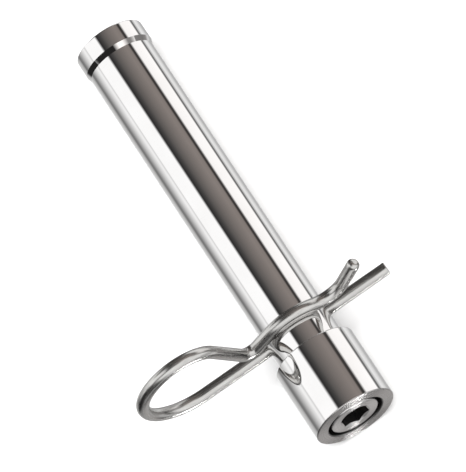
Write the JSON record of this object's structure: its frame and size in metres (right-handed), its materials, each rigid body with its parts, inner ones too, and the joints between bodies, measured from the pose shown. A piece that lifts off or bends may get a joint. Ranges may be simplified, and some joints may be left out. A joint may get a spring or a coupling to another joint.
{
  "type": "hitch pin lock",
  "caption": "Round trailer hitch pin with a low head, a screwed-on lock collar with a hexagon-socket screw, and a spring hairpin clip through a cross hole.",
  "frame": {"origin": "on the pin's axis, where the full-size shank starts under the head", "axes": "+X along the pin from the head to the lock collar, +Y along the clip's straight leg to its tip, +Z to the side where the clip's bent leg lies"},
  "size_m": [0.1067, 0.0625, 0.0353],
  "materials": {
    "polished_steel": "mirror polished along the shank, faint turning marks under the head",
    "collar_steel": "mirror polished round the side, turned grey end face",
    "screw_steel": "satin, turned head face",
    "washer_steel": "plain spring steel",
    "clip_wire": "satin drawn spring wire"
  },
  "bodies": {
    "pin": {"hitch_pin": "polished_steel"},
    "clip": {"hairpin_clip": "clip_wire"},
    "collar": {"lock_collar": "collar_steel", "lock_washer": "washer_steel"},
    "screw": {"lock_screw": "screw_steel"}
  },
  "joints": [
    {"name": "clip_pull", "type": "slide", "parent": "pin", "child": "clip", "axis": [0, -1, 0], "range_m": [0, 0.034], "deforming": ["hairpin_clip"]},
    {"name": "collar_slide", "type": "slide", "parent": "pin", "child": "collar", "axis": [1, 0, 0], "range_m": [0, 0.00776]},
    {"name": "screw_turn", "type": "hinge", "parent": "collar", "child": "screw", "pos_m": [0.0927, 0, 0], "axis": [1, 0, 0], "range_deg": [0, 1980]}
  ],
  "couplings": [
    {"joint": "screw_turn", "follows": "collar_slide", "rad_per_m": 4452.7}
  ]
}
